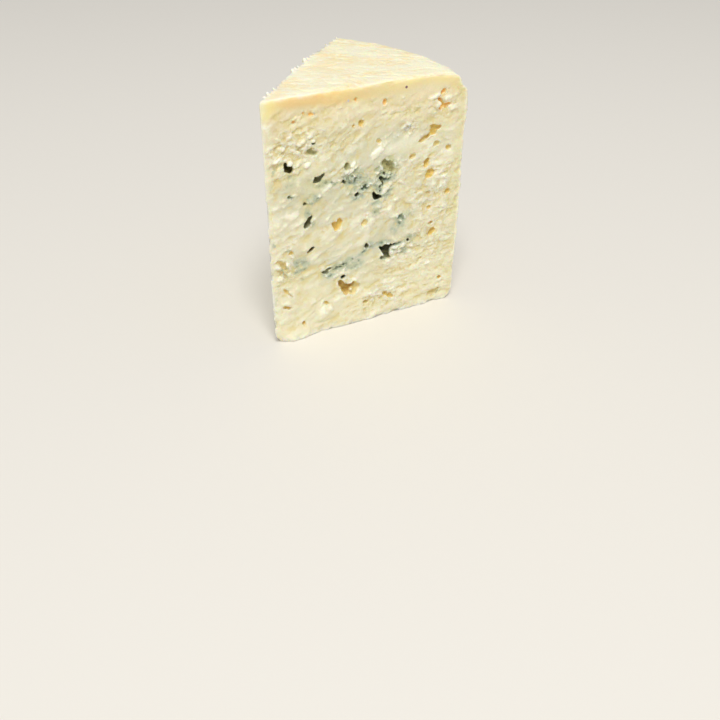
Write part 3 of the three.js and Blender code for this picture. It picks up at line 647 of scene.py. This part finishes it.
def mouldAt(face, along, up):
    strength, tone = np.zeros(len(along)), np.full(len(along), plainTone)
    for spot in face["mould"]:
        across, rise = turned(along, up, spot, spot[4] * face["flip"])
        there = spot[5] * np.exp(-((across / spot[2]) ** 2 + (rise / spot[3]) ** 2))
        tone = np.where(there > strength, spot[6], tone)
        strength = np.maximum(strength, there)
    patchy = flatNoise(along / 1.9, up / 1.4, face["seed"] + 20, 2)
    strength *= smoothStep(wedge["height"] - up, 1.5, 5)
    return strength * np.clip(0.95 + 0.6 * patchy, 0.35, 1.5), tone


def fromLobe(face, lobe, along, up, margin):
    # How far each point is from the middle of a hole's lobe: 1 at its edge, less inside it. The
    # margin widens the lobe.
    across, rise = turned(along, up, lobe, lobe[4] * face["flip"])
    return np.hypot(across / (lobe[2] / 2 + margin), rise / (lobe[3] / 2 + margin))


def mouthsAt(face, along, up):
    nearest = np.full(len(along), 9.0)
    for *_, lobes in face["holes"]:
        for lobe in lobes:
            nearest = np.minimum(nearest, fromLobe(face, lobe, along, up, 0.1))
    return nearest


# How strongly each kind of relief shows on the cut faces, in millimetres.
texture = {
    "broadSwell": 0.55, "swell": 0.36, "jolt": 0.4, "broadDrag": 0.14, "drag": 0.38, "dragLoss": 0.22,
    "broadLips": 0.22, "lips": 0.2, "clods": 0.5, "fallen": 0.35, "crags": 0.85, "ledges": 0.45,
    "strokes": 0.8, "crack": 0.5, "rim": 0.45,
}


def cutReliefAt(face, along, up):
    # Outward relief of a cut face, the fine part of it, and how dark its cracks are.
    seed = face["seed"]
    slide, across = turned(along, up, (0, 0), face["rise"])
    # The strokes of the cut flatten towards its lower outer corner.
    across += 3.4 * np.log1p(np.exp((along - 45) / 12)) * (1 - smoothStep(up, 30, 60))
    mould = mouldAt(face, along, up)[0]
    loose = 0.42 + strengthAt(face["crumbly"], along, up) - strengthAt(face["smooth"], along, up)
    loose = np.clip(loose + 0.5 * mould + 0.3 * flatNoise(along / 12, up / 12, seed + 16), 0.08, 1.3)
    bent = across + 2.2 * flatNoise(slide / 19, across / 11, seed + 1)
    swell = texture["broadSwell"] * flatNoise(along / 26, up / 22, seed + 2)
    swell += texture["swell"] * flatNoise(along / 9, up / 8, seed + 3)
    dent = sum(place[4] * around(place, along, up) for place in face["dents"])
    jolt = texture["jolt"] * flatNoise(along / 1.7, up / 1.7, seed + 10, 2)
    drag = texture["broadDrag"] * flatNoise(slide / 13, bent / 3.2, seed + 4, 2)
    nearTip = texture["drag"] - texture["dragLoss"] * smoothStep(along, 20, 50)
    drag += nearTip * flatNoise(slide / 5, bent / 2.6, seed + 6)
    flaky = np.clip(loose - 0.35, 0, 1)
    lips = texture["broadLips"] * scales(slide / 5, bent / 2.7 + 0.3 * jolt, seed + 5) * (1 - 0.6 * flaky)
    fineLips = scales(slide / 2.6 + 0.4 * jolt, bent / 1.6 + 0.6 * jolt, seed + 7)
    lips += texture["lips"] * fineLips * (1 - 0.6 * flaky)
    ledges = scales(slide / 2.2 + jolt, bent / 1.1 + jolt, seed + 21)
    crags = ridges(slide / 4.2 + jolt, bent / 2.4 - jolt, seed + 22)
    # Soft clods of curd: rounded above, with a crease between one and the next.
    clods = np.abs(flatNoise(slide / 5.6, bent / 3.4, seed + 17))
    clods += 0.8 * np.abs(flatNoise(slide / 2.7 + jolt, bent / 1.8, seed + 18))
    clods += 0.4 * np.abs(flatNoise(slide / 1.4, bent / 1.1 + jolt, seed + 19))
    coarse = grains(slide / 2.6 + jolt, bent / 1.6 - jolt, seed + 11)
    small = grains(slide / 1.3 - jolt, bent / 0.95 + jolt, seed + 12)
    near, pick = cells(slide / 4.4 + jolt, bent / 1.9 + 0.6 * jolt, seed + 13)[::2]
    fallen = smoothStep(0.48 - near, 0, 0.3) * (pick < 0.24)
    crumb = loose * (texture["clods"] * (clods - 0.6) - texture["fallen"] * fallen)
    crumb += flaky * (texture["crags"] * (crags - 0.3) + texture["ledges"] * (ledges - 0.25))
    line = np.abs(flatNoise(slide / 3.4, bent / 1.9, seed + 14))
    crack = smoothStep(mould, 0.48, 0.85) * (1 - smoothStep(line, 0.03, 0.12))
    crevice = 1 - smoothStep(np.minimum(coarse, small + 0.25), 0.04, 0.34)
    crack = np.maximum(crack, crevice * smoothStep(mould, 0.55, 0.9))
    torn = smoothStep(flatNoise(along / 1.3, up / 1.3, seed + 15), -0.1, 0.5)
    rim = hump(mouthsAt(face, along, up), 1.25, 0.25) * torn * smoothStep(mould, 0.12, 0.4)
    # The paste is firm and smooth just under the rind of the top.
    firm = 1 - 0.8 * smoothStep(up, wedge["height"] - 6.5, wedge["height"] - 3)
    detail = firm * (texture["strokes"] * (drag + lips) + crumb) - texture["crack"] * crack
    detail += texture["rim"] * rim
    return swell - dent + detail, detail, crack


def shapeTerms(points):
    # Where each point lies, in millimetres from the tip's foot.
    terms = {"x": points[:, 0], "y": points[:, 1], "up": points[:, 2]}
    for name, face in cutFaces.items():
        terms[name + "Along"] = points @ face["run"]
        terms[name + "Depth"] = -(points @ face["out"])
    terms["reach"] = np.hypot(points[:, 0], points[:, 1])
    terms["arc"] = np.arctan2(points[:, 1], points[:, 0]) * wedge["radius"]
    return terms


def grooveAt(up):
    return wedge["grooveDepth"] * hump(up, wedge["grooveUp"], wedge["grooveSpread"])


# How far each edge has crumbled away and how broadly, in millimetres. The tip is chipped at its
# foot and stands full above.
wear = {
    "firstTop": (0.45, 1.2), "secondTop": (0.4, 1.6), "base": (1, 1.6), "side": (0.4, 1.1),
    "tip": (0.8, 1.7), "chip": 2.6, "fullTip": 0.8,
}


def edgeWear(terms):
    up, reach = terms["up"], terms["reach"]
    top, base, side = (gap.clip(0) for gap in (wedge["height"] - up, up, wedge["radius"] - reach))
    front, back = terms["frontDepth"].clip(0), terms["backDepth"].clip(0)
    nearCut = np.minimum(front, back)
    along = terms["x"] + 0.7 * terms["y"]

    def worn(edge, gap):
        depth, breadth = wear[edge]
        return depth * hump(gap, 0, breadth)

    def bite(length, seed):
        return np.clip(0.3 + flatNoise(along / length, up / length, seed, 2), 0, 1.2)

    total = worn("firstTop", top + front) * (0.5 + bite(7, 61))
    total += worn("secondTop", top + back) * bite(3.3, 62)
    total += worn("base", base + nearCut) * bite(4.4, 63)
    total += worn("side", side + nearCut) * bite(3.9, 64)
    return total + worn("tip", reach) * bite(4.2, 65) * (1 - smoothStep(up, 40, 85))


# The rind's own relief, in millimetres. A swell of the curved side is its place up, its spread
# and its height.
rindForm = {
    "swells": [(80, 16, 1.1), (34, 20, 0.8)], "broadDimple": 0.5, "dimple": 0.16, "fineDimple": 0.07,
    "sideCrease": 0.2, "topFold": 0.14, "topCrease": 0.24, "topSlump": 0.3,
}


def moveSkin(piece):
    points, normals = readPoints(piece), readPoints(piece, "normal")
    terms = shapeTerms(points)
    x, y, up, reach, arc = (terms[name] for name in ("x", "y", "up", "reach", "arc"))
    height, radius = wedge["height"], wedge["radius"]
    move = np.zeros(len(points))
    for name, face in cutFaces.items():
        along = terms[name + "Along"]
        facing = smoothStep(normals @ face["out"], 0.15, 0.75)
        near = 1 - smoothStep(terms[name + "Depth"], 1.2, 3.5)
        relief = cutReliefAt(face, along, up)[0]
        move += facing * near * relief * (0.3 + 0.7 * smoothStep(along, 0, 3))
    # The curved side swells gently and is dimpled where its wrapping pressed.
    outward = (normals[:, 0] * x + normals[:, 1] * y) / reach.clip(1)
    onSide = smoothStep(reach, radius - 9, radius - 5) * smoothStep(outward, 0.4, 0.8)
    dimple = rindForm["broadDimple"] * flatNoise(arc / 19, up / 23, 31)
    dimple += rindForm["dimple"] * flatNoise(arc / 4.5, up / 6, 32, 2)
    dimple -= rindForm["sideCrease"] * hump(flatNoise(arc / 13, up / 19, 35), 0, 0.06)
    dimple += rindForm["fineDimple"] * flatNoise(arc / 1.8, up / 2.6, 36, 2)
    dimple += sum(swell * hump(up, middle, spread) for middle, spread, swell in rindForm["swells"])
    move += onSide * (dimple - 0.3) * smoothStep(up, 1, 6)
    groove = grooveAt(up) * smoothStep(reach, radius - 12, radius - 6)
    sideways = np.stack([x, y, np.zeros(len(points))], 1) / reach[:, None].clip(1)
    # The top has the low creases of its wrapping.
    onTop = smoothStep(normals[:, 2], 0.3, 0.8) * smoothStep(up, height - 6, height - 3)
    alongCrease, acrossCrease = turned(x, y, (0, 0), wedge["creaseTurn"])
    wave = acrossCrease + 1.9 * flatNoise(alongCrease / 8, acrossCrease / 5, 43, 2)
    crease = rindForm["topFold"] * flatNoise(alongCrease / 5, wave / 2.1, 41, 2)
    crease -= rindForm["topCrease"] * hump(flatNoise(alongCrease / 12, wave / 4.5, 42), 0, 0.05)
    move += onTop * (crease - rindForm["topSlump"] * np.abs(flatNoise(x / 20, y / 14, 44)))
    moved = points + normals * (move - edgeWear(terms))[:, None] - sideways * groove[:, None]
    # The sharp edge at the tip stands full, but for a chip at its foot.
    chip = wear["chip"] * np.clip(1 - up / 5.5, 0, 1) ** 1.5 * hump(reach, 0, 4.5)
    chip -= wear["fullTip"] * smoothStep(up, 5, 16) * hump(reach, 0, 2.5)
    halfAngle = wedge["angle"] / 2
    moved += np.array([math.cos(halfAngle), math.sin(halfAngle), 0]) * chip[:, None]
    moved[:, 2] = np.where(points[:, 2] < 0.25, np.clip(moved[:, 2], 0, 0.05), moved[:, 2].clip(0))
    writePoints(piece, moved)


def joinInto(piece, other):
    pickOnly(piece)
    other.select_set(True)
    bpy.ops.object.join()


def thinOut(piece):
    # The rind and the base keep fewer triangles than the cut faces.
    points, normals = readPoints(piece), readPoints(piece, "normal")
    plain = np.ones(len(points))
    for face in cutFaces.values():
        depth = -(points @ face["out"])
        plain *= smoothStep(depth, 5, 9) * (1 - smoothStep(normals @ face["out"], 0.3, 0.6))
    group = piece.vertex_groups.new(name="plain")
    for picked, weight in ((plain > 0.5, 1), (plain <= 0.5, 0.5)):
        group.add(np.flatnonzero(picked).tolist(), weight, "REPLACE")
    applyModifier(piece, "TRIANGULATE", "triangles")
    applyModifier(piece, "DECIMATE", "thin", ratio=meshing["triangles"] / countTriangles(piece),
                  vertex_group="plain", vertex_group_factor=0.003)
    piece.vertex_groups.clear()


def buildCheese():
    piece = wedgeBlank()
    holes = lumps("holeCutters", list(holeShapes()), meshing["holeDetail"])
    applyModifier(holes, "REMESH", "fuse", mode="VOXEL", voxel_size=meshing["holeVoxel"])
    print("hole cutters", len(holes.data.polygons))
    applyModifier(piece, "BOOLEAN", "cutHoles", operation="DIFFERENCE", solver="MANIFOLD", object=holes)
    bpy.data.objects.remove(holes)
    print("cut", len(piece.data.polygons))
    joinInto(piece, lumps("crumbs", list(crumbShapes()) + list(edgeShapes()), meshing["crumbDetail"]))
    applyModifier(piece, "REMESH", "evenSkin", mode="VOXEL", voxel_size=meshing["skinVoxel"])
    print("skin", countTriangles(piece))
    moveSkin(piece)
    thinOut(piece)
    print("thinned", countTriangles(piece))
    return piece


def paintCheese(piece):
    # What the colours are mixed from, worked out point by point on the finished skin.
    points, normals = readPoints(piece), readPoints(piece, "normal")
    terms = shapeTerms(points)
    x, y, up, reach = (terms[name] for name in ("x", "y", "up", "reach"))
    fieldNames = ("mould", "crest", "inHole", "crack", "haze", "loose")
    fields = {name: np.zeros(len(points)) for name in fieldNames}
    fields["tone"] = np.full(len(points), plainTone)
    holeColour = np.zeros((len(points), 3))
    for name, face in cutFaces.items():
        along, depth = terms[name + "Along"], terms[name + "Depth"]
        other = terms["backDepth" if name == "front" else "frontDepth"]
        mine = (depth < 6) & (depth < other + 1.5)
        relief, detail, crack = cutReliefAt(face, along, up)
        mould, tone = mouldAt(face, along, up)
        sink = depth + relief
        # The crest value is the height of the fine relief, with crumbs that stand out of the face counting
        # high; the paste colour paints a highlight where it is high and shade where it is low.
        crest = detail + 0.9 * np.clip(-sink, 0, 0.6)
        # Mould lies in the hollows: the tops of crumbs stay clean.
        lying = mould * np.clip(1.1 - 1.7 * (crest - 0.05), 0.2, 1.25)
        haze = strengthAt(face["haze"], along, up)
        aroundHole = 0.6 * hump(mouthsAt(face, along, up), 1.3, 0.4)
        loose = np.maximum(strengthAt(face["crumbly"], along, up), aroundHole)
        found = {"crest": crest, "crack": crack, "tone": tone, "mould": lying, "haze": haze, "loose": loose}
        for field, values in found.items():
            fields[field] = np.where(mine, values, fields[field])
        # A hole's colour runs from its mouth tint to its deep tint with depth below the face: partly the
        # hole's own colour, partly painted shade and painted glow.
        for look, _, lobes in face["holes"]:
            start, full, mouthTint, deepTint = looks[look]
            down = smoothStep(sink, start, full)[:, None]
            tint = np.array(linearColour(*mouthTint)) * (1 - down) + np.array(linearColour(*deepTint)) * down
            for lobe in lobes:
                far = fromLobe(face, lobe, along, up, 0.35)
                inside = (1 - smoothStep(far, 1, 1.35)) * smoothStep(sink, start, (start + full) / 2) * mine
                holeColour = np.where((inside > fields["inHole"])[:, None], tint, holeColour)
                fields["inHole"] = np.maximum(fields["inHole"], inside)
    # The rind is a thin skin on the top, the curved side and the base.
    underTop, fromSide = wedge["height"] - up, wedge["radius"] - reach - grooveAt(up)
    shoulder = shoulderAt(arcShare(points))
    corner = np.hypot(np.clip(shoulder - underTop, 0, None), np.clip(shoulder - fromSide, 0, None))
    onShoulder = (underTop < shoulder) & (fromSide < shoulder)
    rindDepth = np.where(onShoulder, shoulder - corner, np.minimum(underTop, fromSide))
    fields["topDepth"] = np.where(onShoulder, shoulder - corner, underTop)
    fields["topDepth"] -= 2.5 * (1 - smoothStep(reach, 1.5, 6))
    fields.update({"sideDepth": fromSide, "up": up, "along": reach})
    facingCut = np.maximum(normals @ cutFaces["front"]["out"], normals @ cutFaces["back"]["out"])
    deepIn = smoothStep(np.minimum(rindDepth, up), 1, 1.6)
    fields["cut"] = np.maximum(smoothStep(facingCut, 0.3, 0.7), deepIn) * smoothStep(rindDepth, 0.1, 0.6)
    # The edges where rind and cut meet are paler.
    nearCut = np.minimum(terms["frontDepth"].clip(0), terms["backDepth"].clip(0))
    width = 1.3 + 0.7 * flatNoise(x / 6, y / 6, 71)
    drip = 0.8 + 1.1 * flatNoise(x / 5, y / 5, 72)
    topRim = np.exp(-(nearCut / width) ** 2 - (underTop.clip(0) / drip.clip(0.2)) ** 2)
    topRim *= 1 - 0.6 * smoothStep(reach, 30, 55)
    sideRim = hump(fromSide.clip(0) + nearCut, 0, 0.8)
    baseRim = np.exp(-(up.clip(0) / 1.6) ** 2 - (nearCut / 1.6) ** 2)
    fields["rim"] = np.maximum(topRim, 0.6 * np.maximum.reduce([sideRim, baseRim, hump(reach, 0, 1.1)]))
    for name, values in fields.items():
        writeValue(piece, name, values)
    writeColour(piece, "holeColour", holeColour)


def settle(piece):
    # The second cut face bows out, and the top falls towards the outer end of the first.
    points = readPoints(piece)
    terms = shapeTerms(points)
    run = np.clip(terms["backAlong"] / wedge["radius"], 0, 1)
    bow = wedge["bow"] * np.sin(math.pi * run) * (1 - smoothStep(terms["backDepth"], 0, 24))
    out = np.clip(terms["reach"] - wedge["fallStart"], 0, None) / (wedge["radius"] - wedge["fallStart"])
    high = (terms["up"] / wedge["height"]).clip(0) ** wedge["fallSharpness"]
    share = arcShare(points)
    points += cutFaces["back"]["out"] * bow[:, None]
    points[:, 2] -= wedge["fall"] * out ** 2 * (1 - share) ** 4 * high
    points[:, 2] = points[:, 2].clip(0)
    writePoints(piece, points)


cheese = buildCheese()
paintCheese(cheese)
settle(cheese)
cheese.data.transform(Matrix.Translation(tip) @ Matrix.Scale(mm, 4))
pickOnly(cheese)
bpy.ops.object.shade_smooth()
print("cheese shaped")


# Materials.

def setInputs(node, settings):
    for name, value in settings.items():
        node.inputs[name].default_value = value


def newMaterial(name):
    material = bpy.data.materials.new(name)
    material.use_nodes = True
    nodes = material.node_tree.nodes
    nodes.clear()
    output = nodes.new("ShaderNodeOutputMaterial")
    shader = nodes.new("ShaderNodeBsdfPrincipled")
    material.node_tree.links.new(shader.outputs["BSDF"], output.inputs["Surface"])
    return material, shader


class Sheet:
    # A short way to write node trees: most calls add a node and return its output.
    def __init__(self, tree):
        self.tree = tree

    def node(self, kind, **settings):
        node = self.tree.nodes.new(kind)
        for name, value in settings.items():
            setattr(node, name, value)
        return node

    def feed(self, socket, value):
        if isinstance(value, bpy.types.NodeSocket):
            self.tree.links.new(value, socket)
        elif isinstance(value, tuple):
            socket.default_value = (*value, 1)
        else:
            socket.default_value = value

    def field(self, name, output="Fac"):
        return self.node("ShaderNodeAttribute", attribute_name=name).outputs[output]

    def place(self, stretch=(1, 1, 1), turn=(0, 0, 0)):
        # A stretch above 1 lengthens a pattern along an axis that is turned first.
        mapping = self.node("ShaderNodeMapping", vector_type="TEXTURE")
        setInputs(mapping, {"Scale": stretch, "Rotation": turn})
        self.feed(mapping.inputs["Vector"], self.node("ShaderNodeTexCoord").outputs["Object"])
        return mapping.outputs["Vector"]

    def noise(self, place, scale, detail=3, roughness=0.5, distortion=0):
        node = self.node("ShaderNodeTexNoise")
        self.feed(node.inputs["Vector"], place)
        setInputs(node, {"Scale": scale, "Detail": detail, "Roughness": roughness, "Distortion": distortion})
        return node.outputs["Fac"]

    def span(self, value, low, high, newLow=0, newHigh=1):
        node = self.node("ShaderNodeMapRange", interpolation_type="SMOOTHSTEP")
        for socket, setting in zip(node.inputs, (value, low, high, newLow, newHigh)):
            self.feed(socket, setting)
        return node.outputs["Result"]

    def sum(self, first, second, operation="ADD"):
        node = self.node("ShaderNodeMath", operation=operation)
        self.feed(node.inputs[0], first)
        self.feed(node.inputs[1], second)
        return node.outputs[0]

    def product(self, first, second):
        return self.sum(first, second, "MULTIPLY")

    def mix(self, share, first, second, most=1):
        node = self.node("ShaderNodeMix", data_type="RGBA")
        if most != 1:
            share = self.product(share, most)
        for name, value in (("Factor", share), ("A", first), ("B", second)):
            self.feed(node.inputs[name], value)
        return node.outputs["Result"]

    def layers(self, colour, rows):
        # A row is where a layer shows, its colour, and how strong it is at the most.
        for share, tint, most in rows:
            colour = self.mix(share, colour, tint, most)
        return colour


# The colours for crests, crumbs and hollows are painted light: a highlight on raised paste and crumbs, shade
# in the hollows.
paste = linearColours({
    "cream": (234, 229, 200), "warmCream": (237, 230, 192), "greyCream": (222, 219, 194),
    "haze": (190, 197, 176), "lowBounceLight": (246, 240, 210), "topCream": (242, 226, 182),
    "crest": (255, 251, 226), "crumb": (252, 253, 242), "hollowShade": (228, 213, 148),
    "band": (240, 209, 138), "bandTip": (244, 231, 160), "bandFar": (238, 222, 162),
    "sideBand": (230, 224, 170), "mouldPale": (186, 198, 176), "mouldDense": (118, 136, 114),
    "olivePale": (196, 197, 152), "oliveDense": (128, 130, 88), "crack": (78, 86, 70),
    "light": (249, 245, 222), "flakeHighlight": (255, 253, 234), "butter": (232, 219, 168),
    "rim": (251, 243, 226), "shade": (226, 211, 160),
})
rind = linearColours({
    "white": (254, 244, 212), "streak": (252, 223, 168), "tinge": (252, 228, 182),
    "bright": (255, 251, 230), "speck": (190, 190, 160),
})
surface = {
    "Roughness": 0.4, "Subsurface Weight": 0.6, "Subsurface Radius": (1, 0.7, 0.35),
    "Subsurface Scale": 0.0025,
}
roughening = {"Distance": 0.0004, "Strength": 0.8}

# Tiny stains: place along and up the first cut face, width, colour, strength.
stains = [
    (53.8, 92.3, 1, (110, 60, 90), 0.9),
    (31.2, 91, 1.1, (196, 196, 214), 0.7),
    (30.4, 90.6, 0.8, (196, 196, 214), 0.5),
    (27.8, 95.4, 0.9, (172, 174, 150), 0.6),
    (28.8, 95.5, 0.9, (172, 174, 150), 0.6),
]
creaseTurn = math.radians(wedge["creaseTurn"])


def pasteColour(s, world, fine, flakes):
    wide, cloudy = s.noise(world, 28, 2), s.noise(world, 90, 3)
    drift = s.noise(s.place((2, 1, 1), (0, creaseTurn, 0)), 190, 3, 0.5, 0.6)
    up, along, loose = s.field("up"), s.field("along"), s.field("loose")
    haze = s.product(s.field("haze"), s.span(cloudy, 0.25, 0.6, 0.5, 1.1))
    # Painted light from the relief: raised paste is painted lighter as a highlight, whiter still on crumbs
    # by mould, and low paste is painted yellower and darker as shade.
    rough = s.sum(s.field("crest"), s.product(s.sum(fine, -0.5), 0.45))
    bright = s.mix(s.span(s.field("mould"), 0.05, 0.3), paste["crest"], paste["crumb"])
    # A warm band lies just under the rind of the top, and a paler one inside the curved side.
    wave = s.span(wide, 0.3, 0.7, -1.6, 1.6)
    warm = s.mix(s.span(along, 2, 9), paste["bandTip"], paste["band"])
    warm = s.mix(s.span(along, 22, 46), warm, paste["bandFar"])
    return s.layers(s.mix(s.span(wide, 0.35, 0.65), paste["cream"], paste["warmCream"]), [
        (s.span(cloudy, 0.5, 0.72), paste["greyCream"], 0.6),
        (s.span(drift, 0.52, 0.68), paste["light"], 0.75),
        (s.span(drift, 0.47, 0.32), paste["butter"], 0.55),
        # Painted light: the paste is painted paler towards the base, for light bounced up from below.
        (s.span(up, 34, 6), paste["lowBounceLight"], 0.55),
        (s.span(up, 72, 90), paste["topCream"], 0.6),
        (haze, paste["haze"], 0.75),
        # Painted shade in the hollows of the relief, painted highlight on its raised parts.
        (s.span(rough, 0.01, -0.32), paste["hollowShade"], 0.8),
        (s.span(rough, 0.07, 0.42), bright, 0.95),
        # Painted shade between the torn flakes and a painted highlight on them, from the same noise that
        # raises them in the bump.
        (s.product(loose, s.span(flakes, 0.46, 0.36)), paste["shade"], 0.7),
        (s.product(loose, s.span(flakes, 0.51, 0.6)), paste["flakeHighlight"], 0.95),
        (s.span(s.sum(s.field("topDepth"), wave), 5.6, 2.4), warm, 0.8),
        (s.span(s.sum(s.field("sideDepth"), wave), 5.5, 0.6), paste["sideBand"], 0.45),
    ])


def mouldColour(s, world, colour):
    # Mould breaks up into specks at its border and darkens in its cracks.
    field, tone = s.field("mould"), s.field("tone")
    specks = s.sum(s.noise(world, 640, 4, 0.7), -0.5)
    mould = s.sum(field, s.product(specks, s.span(field, 0, 0.35)))
    return s.layers(colour, [
        (s.span(mould, 0.06, 0.5), s.mix(tone, paste["mouldPale"], paste["olivePale"]), 0.85),
        (s.span(mould, 0.5, 0.95), s.mix(tone, paste["mouldDense"], paste["oliveDense"]), 0.9),
        (s.span(mould, 0.85, 1.15), paste["crack"], 0.8),
        (s.field("crack"), paste["crack"], 0.85),
    ])


def stainColour(s, world, colour):
    for along, up, width, tint, strength in stains:
        apart = s.node("ShaderNodeVectorMath", operation="DISTANCE")
        s.feed(apart.inputs[0], world)
        apart.inputs[1].default_value = tip + Vector((along, 0, up)) * mm
        near = s.span(apart.outputs["Value"], width * 0.6 * mm, width * 0.35 * mm)
        colour = s.mix(near, colour, linearColour(*tint), strength)
    return colour


def rindColour(s, world):
    streaky = s.place((2.2, 1, 1), (0, 0, creaseTurn))
    streaks, broad = s.noise(streaky, 300, 5, 0.6, 2.2), s.noise(streaky, 90, 3, 0.5, 0.8)
    amount = s.sum(streaks, s.product(s.sum(broad, -0.5), 1.1))
    # The curved side is more even than the top.
    onTop = s.span(s.field("topDepth"), 5, 1.5, 0.45, 1)
    flecks = s.product(s.span(s.noise(world, 320, 2), 0.72, 0.78), s.span(broad, 0.45, 0.6))
    return s.layers(rind["white"], [
        (s.product(s.span(s.noise(world, 40, 2), 0.46, 0.64), onTop), rind["tinge"], 0.7),
        (s.product(s.span(amount, 0.45, 0.75), onTop), rind["streak"], 0.8),
        (s.span(s.noise(streaky, 520, 4, 0.6, 1.2), 0.52, 0.68), rind["bright"], 0.7),
        (flecks, rind["speck"], 0.4),
    ])


def cheeseMaterial():
    material, shader = newMaterial("cheesePaste")
    s = Sheet(material.node_tree)
    world = s.place()
    fine = s.noise(world, 700, 4, 0.6)
    flakes = s.noise(s.place((1.7, 1, 1), (0, creaseTurn, 0)), 620, 3, 0.65, 1.4)
    colour = mouldColour(s, world, pasteColour(s, world, fine, flakes))
    colour = s.mix(s.field("inHole"), colour, s.field("holeColour", "Color"))
    colour = s.mix(s.field("cut"), rindColour(s, world), colour)
    colour = s.mix(s.field("rim"), colour, paste["rim"], 0.8)
    s.feed(shader.inputs["Base Color"], stainColour(s, world, colour))
    setInputs(shader, surface)
    bump = s.node("ShaderNodeBump")
    setInputs(bump, roughening)
    grain = s.sum(s.product(fine, 0.6), s.product(s.noise(world, 1700, 3), 0.3))
    torn = s.product(s.field("loose"), s.span(flakes, 0.4, 0.62))
    s.feed(bump.inputs["Height"], s.sum(grain, s.product(torn, 0.35)))
    s.feed(shader.inputs["Normal"], bump.outputs["Normal"])
    return material


def floorMaterial():
    material, shader = newMaterial("paleFloor")
    setInputs(shader, {"Base Color": (*linearColour(*studio["floorColour"]), 1), "Roughness": 0.7})
    return material


cheese.data.materials.clear()
cheese.data.materials.append(cheeseMaterial())
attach(cheese, "root")
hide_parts("cheese_wedge")
print("cheese finished")

# Floor and light.

studio = {
    "floor": 4, "floorColour": (232, 228, 220), "ambient": 0.42,
    "keyPlace": (-0.35, -0.85, 1.75), "keyAim": (0, 0, 0.05), "keySize": 0.7, "keyPower": 28,
    "keyColour": (1, 0.99, 0.97),
}


def addStudio():
    bpy.ops.object.select_all(action="DESELECT")
    bpy.ops.mesh.primitive_plane_add(size=studio["floor"], location=(0, 0, 0))
    floor = bpy.context.active_object
    floor.name = "floor"
    floor.data.materials.append(floorMaterial())
    data = bpy.data.lights.new("key", "AREA")
    data.energy = studio["keyPower"]
    data.size = studio["keySize"]
    data.color = studio["keyColour"]
    key = bpy.data.objects.new("key", data)
    bpy.context.scene.collection.objects.link(key)
    key.location = studio["keyPlace"]
    aim = Vector(studio["keyAim"]) - Vector(studio["keyPlace"])
    key.rotation_euler = aim.to_track_quat("-Z", "Y").to_euler()
    world = bpy.data.worlds.new("studio")
    bpy.context.scene.world = world
    world.use_nodes = True
    background = world.node_tree.nodes["Background"]
    setInputs(background, {"Color": (1, 1, 1, 1), "Strength": studio["ambient"]})
    bpy.context.scene.view_settings.view_transform = "Standard"


addStudio()
print("studio lit")
